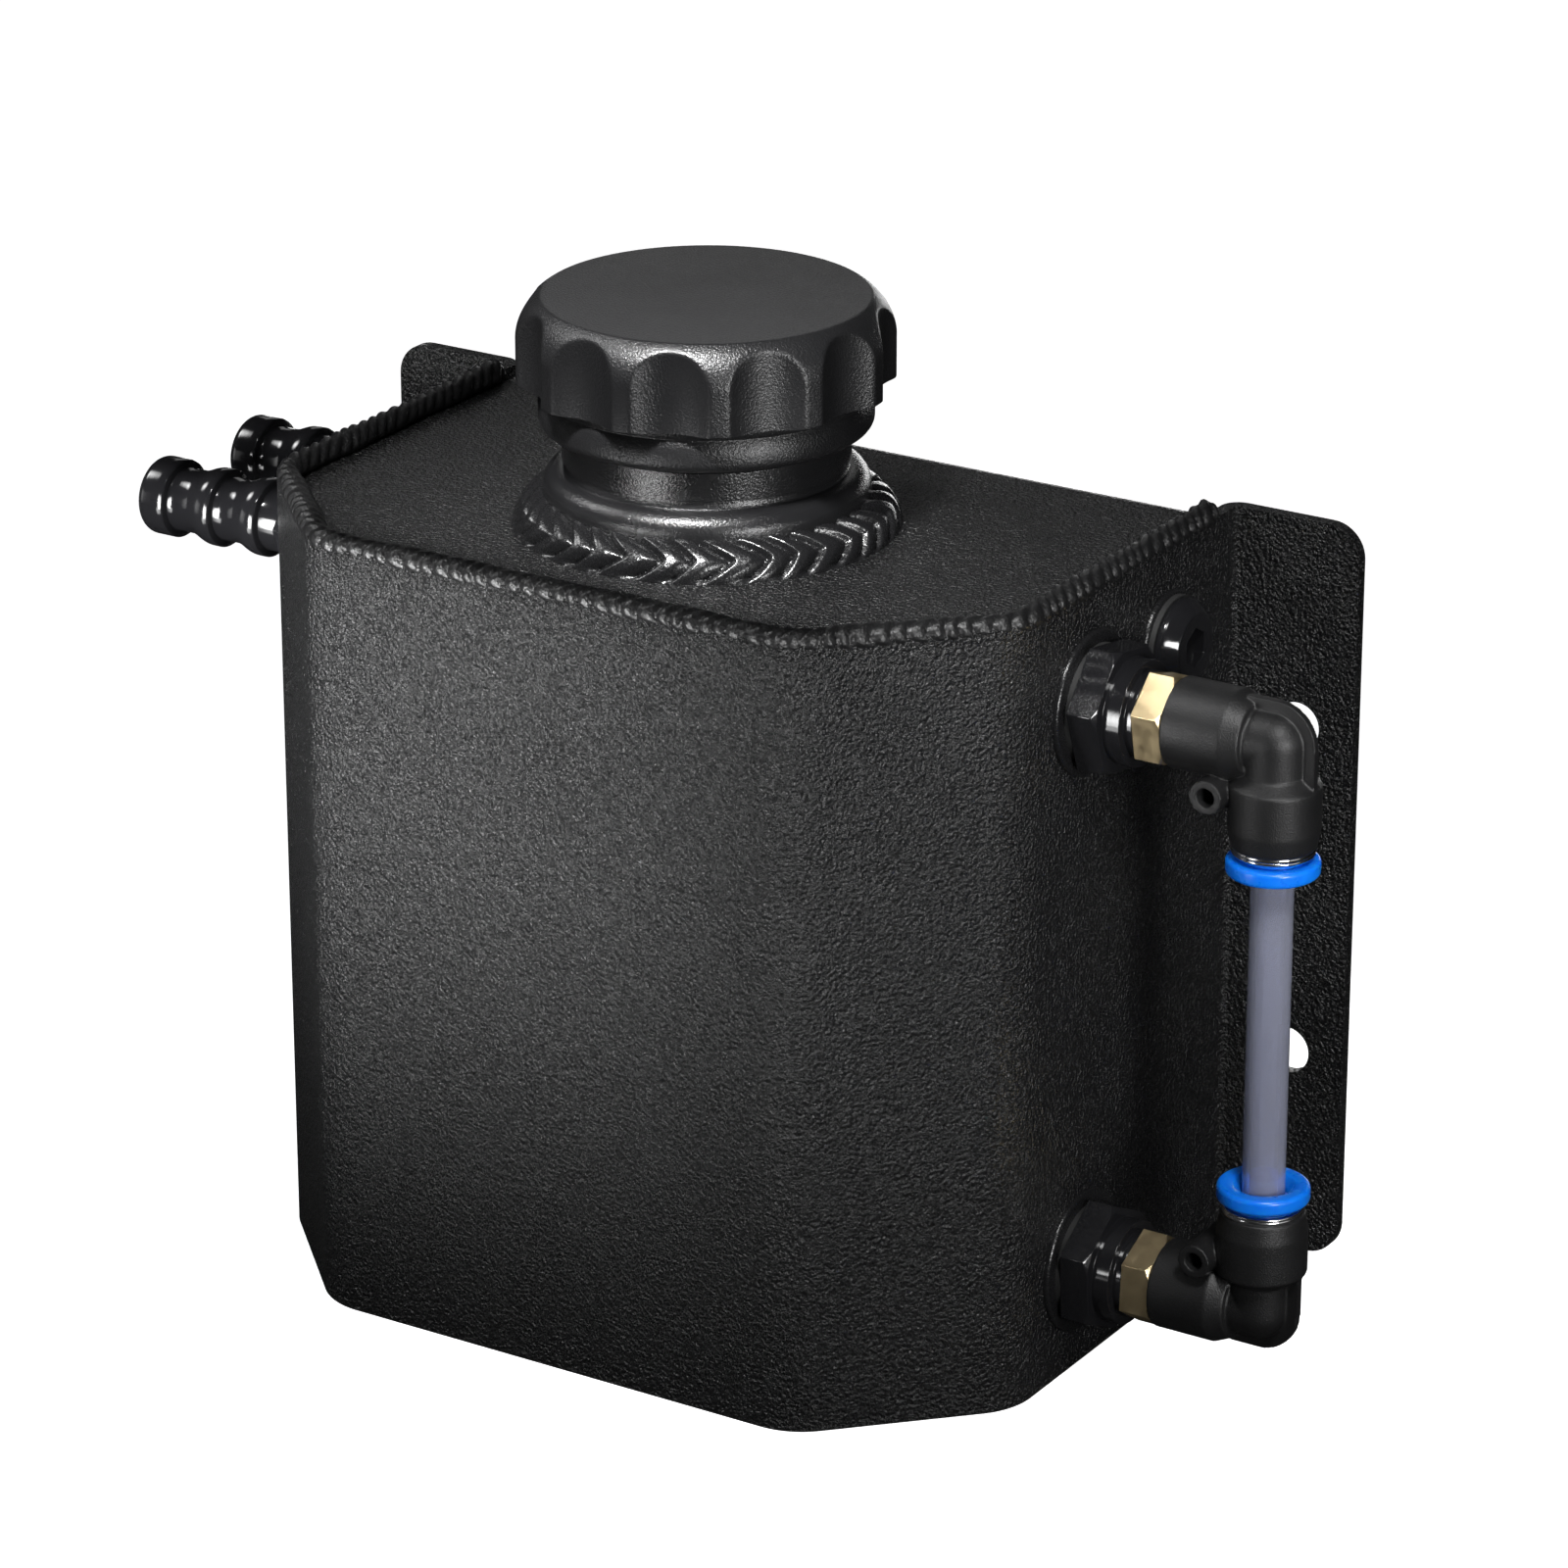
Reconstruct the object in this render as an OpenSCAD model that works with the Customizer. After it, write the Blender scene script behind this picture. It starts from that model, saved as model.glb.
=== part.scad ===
// One-litre wall-mounted fluid reservoir: a folded sheet tank with a screw cap,
// two hose tails, a plugged spare port and a push-fit sight gauge.
//
// The frame: +X is the gauge side, the front faces -Y, the mounting flanges lie
// against the wall at y = 0, and +Z is up. The origin is the middle of the four
// mounting holes, on the back face of the flanges. Heights in the modules are
// measured from the base, and at_base() carries them into that frame.

/* [Tank] */
// Width across the side walls
tank_w = 124; // [116:1:140]
// Depth from the front wall to the back panel
tank_d = 82; // [78:1:96]
// Height of the wrapped shell
tank_h = 116.5; // [112:0.5:130]
// Width of each corner chamfer
chamfer = 23; // [18:1:28]
// Sheet thickness
sheet = 2; // [1.5:0.5:2.5]
// Inside radius of the upright corner bends
corner_bend_r = 9; // [5:1:12]
// Depth of the top panel below the shell's upper edge
top_recess = 1.3; // [0.5:0.1:3]

/* [Mounting flanges] */
// Width of each flange outside the side wall
flange_w = 19.5; // [17:0.5:26]
// Height of the flange's lower edge above the base
flange_lift = 4.5; // [2:0.5:10]
// Inside radius of the flange bend
flange_bend_r = 1; // [0.5:0.5:2]
// Corner radius of the flanges
flange_corner_r = 5; // [2:1:8]
// Distance between the two columns of mounting holes
hole_pitch_x = 145; // [141:1:150]
// Distance between the two rows of mounting holes
hole_pitch_z = 50; // [40:1:70]
// Diameter of the mounting holes
hole_d = 7; // [5:0.5:8]

/* [Filler] */
// Bore of the filler neck
neck_bore_d = 32; // [26:1:33]
// Outside diameter of the neck's thread
neck_d = 40.6; // [40:0.1:41]
// Height of the neck above the top panel
neck_h = 25.8; // [24:0.2:30]
// Diameter of the neck's foot flange
foot_d = 46.2; // [45:0.2:48]
// Diameter of the weld around the foot
neck_weld_d = 55; // [53:0.5:58]
// Diameter of the cap's grip
cap_d = 53; // [51:0.5:56]
// Number of flutes around the grip
flutes = 12; // [8:1:16]

/* [Ports] */
// Distance between the two gauge ports
gauge_pitch = 84; // [80:1:86]
// Distance from the side wall to the sight tube's axis
gauge_reach = 28.7; // [28:0.1:30]
// Height of the hose tails above the base
hose_z = 104; // [98:1:104]
// Distance between the two hose tails
hose_pitch = 22.5; // [20:0.5:26]
// Height of the spare port above the base
spare_z = 102.2; // [96:0.2:103]

/* [Hidden] */

$fn = 96;
cut = 1;                                  // how far a cutter runs past a face
half_w = tank_w / 2;
back_y = -sheet;                          // outer face of the back panel
front_y = back_y - tank_d;                // outer face of the front wall
mid_y = back_y - tank_d / 2;
top_z = tank_h - top_recess;              // upper face of the top panel
base_drop = (flange_lift + tank_h) / 2;   // base to the mounting holes' middle

// Folded sheet
corner_turn = 45;
corner_out_r = corner_bend_r + sheet;
corner_set = corner_out_r * tan(corner_turn / 2);
bend_steps = 12;
front_run = half_w - chamfer - corner_set;
side_start_y = front_y + chamfer + corner_set;
flange_start_y = back_y - flange_bend_r;
panel_bend_r = 1;

// Hexagons: their chamfers, and how far each one is turned from upright
hex_chamfer = 0.9;
hex_face_share = 1.06;
upper_adapter_turn = 20;
lower_adapter_turn = 4;
upper_stem_turn = 12;
lower_stem_turn = -4;
tail_hex_turn = 10;

// Weld beads
seam_w = 3.4;
seam_rise = 1.8;
seam_layers = 3;
seam_step = 0.4;
seam_end_y = back_y - 6;
seam_end_rise = 2.4;
rear_bead_r = 1.5;
rear_bead_shift = 0.4;                    // towards the flange bend

// Filler neck and cap, heights above the top panel
foot_h = 8.2;
foot_edge_h = 5.4;
neck_weld_back = 1.5;                     // middle of the bead's round, inside the foot
neck_weld_sink = 0.85;                    // and below the panel
lip_chamfer = 0.8;
gasket_t = 2;
gasket_rim_gap = 0.4;
gasket_bore_gap = 0.6;
spigot_t = 3;
cap_clearance = 0.3;
band_d = 47;
band_low = 14.3;
band_edge_r = 1.5;
grip_low = 20.5;
cap_top = 33;
cap_face_d = 46;
shoulder_r = 7;
shoulder_x = cap_d / 2 - shoulder_r;
shoulder_z = cap_top - sqrt(pow(shoulder_r, 2) - pow(cap_face_d / 2 - shoulder_x, 2));
flute_depth = 2.2;
flute_r = 9.9;
flute_phase = 21.5;

// Ports, distances outwards from the side wall
gauge_low_z = (tank_h - gauge_pitch) / 2;
gauge_high_z = gauge_low_z + gauge_pitch;
bung_proud = 0.8;
bung_d = 21;
bung_body_d = 17;
bung_depth = 5;
port_thread_d = 11;
washer_t = 0.8;
adapter_af = 17;
adapter_hex_end = 6;
adapter_collar_d = 15;
adapter_collar_end = 8.6;
adapter_nose_d = 12.4;
adapter_nose_end = 9.8;
stem_thread_d = 9.6;
stem_thread_in = 3;
stem_af = 12;
stem_hex_end = 14.1;
stem_bore_d = 4;
stem_spigot_d = 8;
stem_spigot_end = 22;
stem_groove_d = 6;
stem_groove_at = 17.6;
seal_w = 1.8;

// Elbow, distances from where its two barrels' axes meet
barrel_d = 12.8;
barrel_start = stem_hex_end - gauge_reach;
barrel_end = -5.7;
neck_cone_end = -3.2;
bend_d = 8.8;
bend_cone_d = 10.6;
shoulder_top = 4.6;
shoulder_low = 5.9;
shoulder_lip = 0.2;
taper_start = 12;
socket_end = 14.8;
socket_mouth_d = 11.8;
cartridge_d = 10.4;
cartridge_in = 7.9;
tube_in = 6;
fin_out = 6.1;
fin_t = 1.2;
lug_x = -7.3;
lug_z = 7.5;
lug_d = 4.9;
lug_hole_d = 2.6;
lug_l = 12.8;

// Push-fit cartridge, distances from the same point along the sight tube
seal_at = 8;
seal_d = 9.2;
grip_at = 10;
grip_t = 0.6;
grip_d = 9.9;
ring_start = 11.6;
ring_end = 16;
ring_d = 11.5;
ring_bore_d = 9.6;
collar_start = 11.3;
collar_gap = 0.6;
collar_flange_t = 2.3;
collar_d = 13;
collar_sleeve_d = 9;
tube_d = 6;
tube_running_gap = 0.08;
tube_bore_d = tube_d - 2;

// Spare port and hose tails, distances outwards from the side wall
spare_y = back_y - 19.5;
spare_bung_d = 15.4;
spare_washer_d = 14;
spare_head_d = 13.6;
spare_face_d = 10;
spare_head_end = 4.6;
spare_rim_t = 1;
spare_socket_af = 5;
spare_socket_depth = 3;
small_body_d = 13;
small_thread_d = 9.6;
hose_mid_y = mid_y + 5.2;
hose_bung_d = 17;
hose_af = 14;
hose_hex_end = 3.6;
tail_end = 30;
tail_root_d = 9.4;
tail_crest_d = 11.6;
tail_bore_d = 7;
tail_pitch = 8.2;
tail_crests = 3;
tail_step_out = 25;                       // outermost crest's square shoulder
tail_land = 1.4;
tail_flare = 4;
tail_nose_r = 1.6;
tail_overlap = 0.2;
flare_steps = 5;
nose_steps = 6;

black_coat = [0.07, 0.07, 0.075];
bead_black = [0.12, 0.12, 0.13];
anodised = [0.05, 0.05, 0.055];
brass = [0.80, 0.66, 0.38];
elbow_black = [0.10, 0.10, 0.11];
collar_blue = [0.05, 0.40, 0.90];
steel = [0.80, 0.80, 0.82];
seal_black = [0.03, 0.03, 0.03];
clear_tube = [0.72, 0.74, 0.88, 0.45];

// Carries heights above the base into the part's frame.
module at_base() {
    translate([0, 0, -base_drop]) children();
}

module both_sides() {
    children();
    mirror([1, 0, 0]) children();
}

// A port's own frame: +X points outwards from the side wall it sits in.
module on_right(y, z) {
    at_base() translate([half_w, y, z]) children();
}

module on_left(y, z) {
    at_base() translate([-half_w, y, z]) mirror([1, 0, 0]) children();
}

// A round bar along +X from one distance to another.
module bar(from, to, d, end_d = -1) {
    translate([from, 0, 0]) rotate([0, 90, 0])
        cylinder(h = to - from, d1 = d, d2 = end_d < 0 ? d : end_d);
}

module hex_bar(from, to, af, turn = 0) {
    corner_d = af / cos(30);
    intersection() {
        translate([from, 0, 0]) rotate([turn, 0, 0]) rotate([0, 90, 0])
            cylinder(h = to - from, d = corner_d, $fn = 6);
        translate([from, 0, 0]) rotate([0, 90, 0])
            cylinder(h = to - from, d1 = corner_d + 2 * (to - from) - hex_chamfer,
                     d2 = af * hex_face_share);
    }
}

function arc(centre, r, from, to) = [
    for (i = [0 : bend_steps])
        centre + r * [cos(from + (to - from) * i / bend_steps),
                      sin(from + (to - from) * i / bend_steps)]
];

function mirrored(path) = [for (i = [len(path) - 1 : -1 : 0]) [-path[i][0], path[i][1]]];
function reversed(path) = [for (i = [len(path) - 1 : -1 : 0]) path[i]];

// The right half of the wrapped wall seen from above, an inset in from its outer
// face: along the front, round the chamfer's two bends and back along the side.
function wall_path(inset) = concat(
    arc([front_run, front_y + corner_out_r], corner_out_r - inset, -90, corner_turn - 90),
    arc([half_w - corner_out_r, side_start_y], corner_out_r - inset, corner_turn - 90, 0)
);

// The same wall all the way round, with its side walls ended at one line.
function wall_outline(inset, end_y) =
    let (right = concat(wall_path(inset), [[half_w - inset, end_y]]))
    concat(mirrored(right), right);

module wall_band(outer_inset, inner_inset, end_y) {
    polygon(concat(
        wall_outline(outer_inset, end_y), reversed(wall_outline(inner_inset, end_y))
    ));
}

module inside_plan(end_y) {
    polygon(wall_outline(sheet, end_y));
}

module flange_plan() {
    bend_mid = [half_w + flange_bend_r, flange_start_y];
    flange_x = half_w + flange_w;
    polygon(concat(
        arc(bend_mid, flange_bend_r, 180, 90),
        [[flange_x, back_y], [flange_x, 0]],
        arc(bend_mid, flange_bend_r + sheet, 90, 180)
    ));
}

module flange_corner_cutter() {
    rotate([90, 0, 0]) linear_extrude(2 * sheet, center = true) difference() {
        square(flange_corner_r + cut);
        circle(flange_corner_r);
    }
}

module flange() {
    corner_x = half_w + flange_w - flange_corner_r;
    difference() {
        translate([0, 0, flange_lift]) linear_extrude(tank_h - flange_lift) flange_plan();
        translate([corner_x, back_y, tank_h - flange_corner_r]) flange_corner_cutter();
        translate([corner_x, back_y, flange_lift + flange_corner_r]) mirror([0, 0, 1])
            flange_corner_cutter();
        for (side = [-1, 1])
            translate([hole_pitch_x / 2, 0, base_drop + side * hole_pitch_z / 2])
                rotate([90, 0, 0]) cylinder(h = 4 * sheet, d = hole_d, center = true);
    }
}

module wall_hole(d) {
    bar(-sheet - cut, cut, d);
}

module wrap_shell() {
    color(black_coat) difference() {
        at_base() {
            linear_extrude(tank_h) wall_band(0, sheet, flange_start_y);
            both_sides() flange();
        }
        for (z = [gauge_low_z, gauge_high_z]) on_right(mid_y, z) wall_hole(bung_body_d);
        on_right(spare_y, spare_z) wall_hole(small_body_d);
        for (side = [-1, 1])
            on_left(hose_mid_y + side * hose_pitch / 2, hose_z) wall_hole(small_body_d);
    }
}

// A block seen from the side, with its two rear edges rounded.
module rear_rounded(rear_y, low, high, r) {
    fore = tank_d + 2 * cut;
    translate([rear_y - fore, low]) square([fore - r, high - low]);
    translate([rear_y - r - cut, low + r]) square([r + cut, high - low - 2 * r]);
    for (z = [low + r, high - r]) translate([rear_y - r, z]) circle(r);
}

// One sheet folded twice: base, back and top.
module top_back_base_panel() {
    color(black_coat) at_base() difference() {
        intersection() {
            linear_extrude(tank_h) inside_plan(back_y);
            rotate([90, 0, 90]) linear_extrude(tank_w, center = true) difference() {
                rear_rounded(back_y, 0, top_z, panel_bend_r + sheet);
                rear_rounded(back_y - sheet, sheet, top_z - sheet, panel_bend_r);
            }
        }
        translate([0, mid_y, top_z])
            cylinder(h = 4 * sheet, d = neck_bore_d + 2 * spigot_t, center = true);
    }
}

// The bead that fills the corner between the top panel and the shell's edge, and
// stands over that edge, in layers that narrow upwards.
module top_seam_weld() {
    fill_h = top_recess;
    color(bead_black) at_base() {
        translate([0, 0, top_z]) linear_extrude(fill_h)
            wall_band(sheet, seam_w, seam_end_y);
        for (i = [0 : seam_layers - 1])
            translate([0, 0, tank_h + i * seam_rise / seam_layers])
                linear_extrude(seam_rise / seam_layers)
                    wall_band(i * seam_step, seam_w - i * seam_step, seam_end_y);
        both_sides() translate([half_w - seam_w / 2, seam_end_y, tank_h])
            cylinder(h = seam_end_rise, d = seam_w);
    }
}

// Upright beads where the back panel meets the flange bends.
module rear_seam_welds() {
    low = flange_lift;
    high = top_z - panel_bend_r - sheet;
    color(bead_black) at_base() both_sides() translate([0, 0, low])
        linear_extrude(high - low) difference() {
            intersection() {
                translate([half_w - sheet + rear_bead_shift, back_y]) circle(rear_bead_r);
                translate([half_w - sheet - rear_bead_r, back_y]) square(2 * rear_bead_r);
            }
            flange_plan();
        }
}

module filler_neck() {
    rim_r = foot_h - foot_edge_h;
    color(anodised) at_base() translate([0, mid_y, top_z]) rotate_extrude() difference() {
        union() {
            translate([0, -sheet]) square([neck_bore_d / 2 + spigot_t, sheet]);
            square([foot_d / 2, foot_edge_h]);
            square([foot_d / 2 - rim_r, foot_h]);
            translate([foot_d / 2 - rim_r, foot_edge_h]) circle(rim_r);
            square([neck_d / 2, neck_h - lip_chamfer]);
            square([neck_d / 2 - lip_chamfer, neck_h]);
        }
        translate([0, -sheet - cut]) square([neck_bore_d / 2, neck_h + sheet + 2 * cut]);
    }
}

module neck_weld() {
    inner_r = foot_d / 2;
    outer_r = neck_weld_d / 2;
    color(bead_black) at_base() translate([0, mid_y, top_z]) rotate_extrude()
        intersection() {
            translate([inner_r, 0]) square([outer_r - inner_r, foot_edge_h]);
            translate([inner_r - neck_weld_back, -neck_weld_sink])
                circle(norm([outer_r - inner_r + neck_weld_back, neck_weld_sink]));
        }
}

// The grip's profile: a flat face, a rolled shoulder and an upright side.
module grip_profile() {
    square([cap_d / 2, shoulder_z]);
    intersection() {
        square([cap_d / 2, cap_top]);
        union() {
            square([shoulder_x, cap_top]);
            translate([shoulder_x, shoulder_z]) circle(shoulder_r);
        }
    }
}

module filler_cap() {
    roof = neck_h + gasket_t;
    bore_r = neck_d / 2 + cap_clearance;
    color(anodised) at_base() translate([0, mid_y, top_z]) difference() {
        rotate_extrude() union() {
            intersection() {
                grip_profile();
                translate([0, grip_low]) square([cap_d, cap_top]);
            }
            translate([0, band_low + band_edge_r]) square([band_d / 2, grip_low - band_low]);
            translate([0, band_low]) square([band_d / 2 - band_edge_r, band_edge_r]);
            translate([band_d / 2 - band_edge_r, band_low + band_edge_r]) circle(band_edge_r);
        }
        translate([0, 0, band_low - cut]) cylinder(h = roof - band_low + cut, r = bore_r);
        for (i = [0 : flutes - 1]) rotate(flute_phase + i * 360 / flutes)
            translate([cap_d / 2 - flute_depth + flute_r, 0, band_low + 2 * band_edge_r])
                cylinder(h = cap_top, r = flute_r);
    }
}

module cap_gasket() {
    color(seal_black) at_base() translate([0, mid_y, top_z + neck_h]) difference() {
        cylinder(h = gasket_t, d = neck_d - 2 * gasket_rim_gap);
        translate([0, 0, -cut]) cylinder(h = gasket_t + 2 * cut, d = neck_bore_d + 2 * gasket_bore_gap);
    }
}

// A welded-in threaded boss: a low ring outside, its body through the wall.
module bung(ring_d, body_d, thread_d, depth) {
    difference() {
        union() {
            bar(0, bung_proud / 2, ring_d);
            bar(bung_proud / 2, bung_proud, ring_d, ring_d - bung_proud);
            bar(-sheet - depth, 0, body_d);
        }
        bar(-sheet - depth - cut, bung_proud + cut, thread_d);
    }
}

module gauge_bung(z) {
    color(black_coat) on_right(mid_y, z) bung(bung_d, bung_body_d, port_thread_d, bung_depth);
}

module upper_gauge_bung() { gauge_bung(gauge_high_z); }
module lower_gauge_bung() { gauge_bung(gauge_low_z); }

module spare_port_bung() {
    color(black_coat) on_right(spare_y, spare_z)
        bung(spare_bung_d, small_body_d, small_thread_d, bung_depth);
}

module hose_bung(side) {
    color(black_coat) on_left(hose_mid_y + side * hose_pitch / 2, hose_z)
        bung(hose_bung_d, small_body_d, small_thread_d, bung_depth);
}

module front_hose_bung() { hose_bung(-1); }
module rear_hose_bung() { hose_bung(1); }

module flat_washer(inner_d, outer_d) {
    color(seal_black) difference() {
        bar(bung_proud, bung_proud + washer_t, outer_d);
        bar(0, adapter_hex_end, inner_d);
    }
}

module upper_adapter_washer() {
    on_right(mid_y, gauge_high_z) flat_washer(port_thread_d, adapter_af);
}
module lower_adapter_washer() {
    on_right(mid_y, gauge_low_z) flat_washer(port_thread_d, adapter_af);
}
module spare_plug_washer() {
    on_right(spare_y, spare_z) flat_washer(small_thread_d, spare_washer_d);
}
module tail_washer(side) {
    on_left(hose_mid_y + side * hose_pitch / 2, hose_z) flat_washer(small_thread_d, hose_af);
}
module front_tail_washer() { tail_washer(-1); }
module rear_tail_washer() { tail_washer(1); }

// Hexagon adapter: screws into a bung and takes the elbow's taper thread.
module gauge_adapter(z, turn) {
    color(anodised) on_right(mid_y, z) difference() {
        union() {
            bar(-bung_depth, bung_proud + washer_t, port_thread_d);
            hex_bar(bung_proud + washer_t, adapter_hex_end, adapter_af, turn);
            bar(adapter_hex_end, adapter_collar_end, adapter_collar_d);
            bar(adapter_collar_end, adapter_nose_end, adapter_nose_d);
        }
        bar(-bung_depth - cut, adapter_nose_end + cut, stem_bore_d);
        bar(stem_thread_in, adapter_nose_end + cut, stem_thread_d);
    }
}

module upper_gauge_adapter() { gauge_adapter(gauge_high_z, upper_adapter_turn); }
module lower_gauge_adapter() { gauge_adapter(gauge_low_z, lower_adapter_turn); }

// Brass stem: thread, hexagon and the spigot that the elbow turns on.
module elbow_stem(z, turn) {
    color(brass) on_right(mid_y, z) difference() {
        union() {
            bar(stem_thread_in, adapter_nose_end, stem_thread_d);
            hex_bar(adapter_nose_end, stem_hex_end, stem_af, turn);
            bar(stem_hex_end, stem_groove_at, stem_spigot_d);
            bar(stem_groove_at, stem_groove_at + seal_w, stem_groove_d);
            bar(stem_groove_at + seal_w, stem_spigot_end, stem_spigot_d);
        }
        bar(0, gauge_reach, stem_bore_d);
    }
}

module upper_elbow_stem() { elbow_stem(gauge_high_z, upper_stem_turn); }
module lower_elbow_stem() { elbow_stem(gauge_low_z, lower_stem_turn); }

module stem_seal(z) {
    color(seal_black) on_right(mid_y, z) difference() {
        bar(stem_groove_at, stem_groove_at + seal_w, stem_spigot_d);
        bar(0, gauge_reach, stem_groove_d);
    }
}

module upper_stem_seal() { stem_seal(gauge_high_z); }
module lower_stem_seal() { stem_seal(gauge_low_z); }

// The elbow's own frame: its axes meet at the origin, the stem comes in from -X
// and the sight tube leaves along +Z. The upper elbow is this one turned over.
module at_elbow(upper) {
    z = upper ? gauge_high_z : gauge_low_z;
    on_right(mid_y, z) translate([gauge_reach, 0, 0]) mirror([0, 0, upper ? 1 : 0]) children();
}

module fin() {
    rotate([90, 0, 0]) linear_extrude(fin_t, center = true) {
        translate([neck_cone_end - cut, -fin_out]) square([cut - neck_cone_end, fin_out]);
        square([fin_out, shoulder_low]);
        intersection() {
            circle(fin_out);
            translate([0, -fin_out]) square(fin_out);
        }
    }
}

module lug() {
    translate([lug_x, 0, lug_z]) rotate([90, 0, 0])
        cylinder(h = lug_l, d = lug_d, center = true);
}

module elbow_outside() {
    bar(barrel_start, barrel_end, barrel_d);
    bar(barrel_end, neck_cone_end, barrel_d, bend_cone_d);
    bar(neck_cone_end - cut, 0, bend_d);
    sphere(d = bend_d);
    cylinder(h = shoulder_low, d = bend_d);
    translate([0, 0, shoulder_top])
        cylinder(h = shoulder_low - shoulder_top, d1 = bend_d + 2 * shoulder_lip,
                 d2 = barrel_d);
    translate([0, 0, shoulder_low]) cylinder(h = taper_start - shoulder_low, d = barrel_d);
    translate([0, 0, taper_start])
        cylinder(h = socket_end - taper_start, d1 = barrel_d, d2 = socket_mouth_d);
    fin();
    lug();
}

module elbow(upper) {
    color(elbow_black) at_elbow(upper) difference() {
        elbow_outside();
        bar(barrel_start - cut, stem_spigot_end - gauge_reach, stem_spigot_d);
        bar(barrel_start, 0, stem_bore_d);
        sphere(d = stem_bore_d);
        cylinder(h = socket_end, d = stem_bore_d);
        translate([0, 0, tube_in]) cylinder(h = socket_end, d = tube_d);
        translate([0, 0, cartridge_in]) cylinder(h = socket_end, d = cartridge_d);
        translate([lug_x, 0, lug_z]) rotate([90, 0, 0])
            cylinder(h = lug_l + 2 * cut, d = lug_hole_d, center = true);
    }
}

module upper_elbow() { elbow(true); }
module lower_elbow() { elbow(false); }

// A ring around the sight tube's axis.
module ring(from, to, inner_d, outer_d) {
    translate([0, 0, from]) difference() {
        cylinder(h = to - from, d = outer_d);
        translate([0, 0, -cut]) cylinder(h = to - from + 2 * cut, d = inner_d);
    }
}

module tube_seal(upper) {
    color(seal_black) at_elbow(upper) ring(seal_at, seal_at + seal_w, tube_d, seal_d);
}

module upper_tube_seal() { tube_seal(true); }
module lower_tube_seal() { tube_seal(false); }

module grip_ring(upper) {
    color(steel) at_elbow(upper) ring(grip_at, grip_at + grip_t, tube_d, grip_d);
}

module upper_grip_ring() { grip_ring(true); }
module lower_grip_ring() { grip_ring(false); }

module retaining_ring(upper) {
    color(steel) at_elbow(upper) {
        ring(ring_start, socket_end, ring_bore_d, cartridge_d);
        ring(socket_end, ring_end, ring_bore_d, ring_d);
    }
}

module upper_retaining_ring() { retaining_ring(true); }
module lower_retaining_ring() { retaining_ring(false); }

// The collar slides on the sight tube and is pushed in to let the tube go.
module release_collar(upper) {
    flange_at = ring_end + collar_gap;
    bore_d = tube_d + 2 * tube_running_gap;
    edge_r = 0.5;
    color(collar_blue) at_elbow(upper) rotate_extrude() difference() {
        union() {
            translate([0, collar_start])
                square([collar_sleeve_d / 2, flange_at - collar_start + edge_r]);
            translate([0, flange_at]) square([collar_d / 2 - edge_r, collar_flange_t]);
            translate([0, flange_at + edge_r])
                square([collar_d / 2, collar_flange_t - 2 * edge_r]);
            for (z = [edge_r, collar_flange_t - edge_r])
                translate([collar_d / 2 - edge_r, flange_at + z]) circle(edge_r);
        }
        square([bore_d / 2, gauge_pitch]);
    }
}

module upper_release_collar() { release_collar(true); }
module lower_release_collar() { release_collar(false); }

module sight_tube() {
    color(clear_tube) at_elbow(false)
        ring(tube_in, gauge_pitch - tube_in, tube_bore_d, tube_d);
}

// Socket plug in the spare port: a coned head with a hexagon socket.
module spare_port_plug() {
    head_start = bung_proud + washer_t;
    color(anodised) on_right(spare_y, spare_z) difference() {
        union() {
            bar(-bung_depth, head_start, small_thread_d);
            bar(head_start, head_start + spare_rim_t, spare_head_d);
            bar(head_start + spare_rim_t, spare_head_end, spare_head_d, spare_face_d);
        }
        translate([spare_head_end - spare_socket_depth, 0, 0]) rotate([0, 90, 0])
            cylinder(h = spare_socket_depth + cut, d = spare_socket_af / cos(30), $fn = 6);
    }
}

// Half-profile of the hose tail: each crest ends in a square shoulder that faces
// the tank and flares up to it from the tip's side.
function tail_crest(i) =
    let (step_at = tail_step_out - i * tail_pitch)
    let (root_r = tail_root_d / 2, crest_r = tail_crest_d / 2)
    concat(
        i == 0 ? [] : [for (k = [flare_steps : -1 : 0])
            [step_at + tail_land + tail_flare * k / flare_steps,
             root_r + (crest_r - root_r) * (1 + cos(180 * k / flare_steps)) / 2]],
        [[step_at, crest_r], [step_at, root_r]]
    );

function tail_outline() = concat(
    [[tail_end, tail_bore_d / 2]],
    [for (a = [90 : -90 / nose_steps : 0]) [
        tail_end - tail_nose_r + tail_nose_r * sin(a),
        tail_crest_d / 2 - tail_nose_r + tail_nose_r * cos(a)]],
    [for (i = [0 : tail_crests - 1]) each tail_crest(i)],
    [[hose_hex_end - tail_overlap, tail_root_d / 2],
     [hose_hex_end - tail_overlap, tail_bore_d / 2]]
);

module hose_tail(side) {
    color(anodised) on_left(hose_mid_y + side * hose_pitch / 2, hose_z) {
        difference() {
            union() {
                bar(-bung_depth, bung_proud + washer_t, small_thread_d);
                hex_bar(bung_proud + washer_t, hose_hex_end, hose_af, tail_hex_turn);
            }
            bar(-bung_depth - cut, hose_hex_end + cut, tail_bore_d);
        }
        rotate([0, 90, 0]) rotate_extrude() polygon([for (p = tail_outline()) [p[1], p[0]]]);
    }
}

module front_hose_tail() { hose_tail(-1); }
module rear_hose_tail() { hose_tail(1); }

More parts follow.
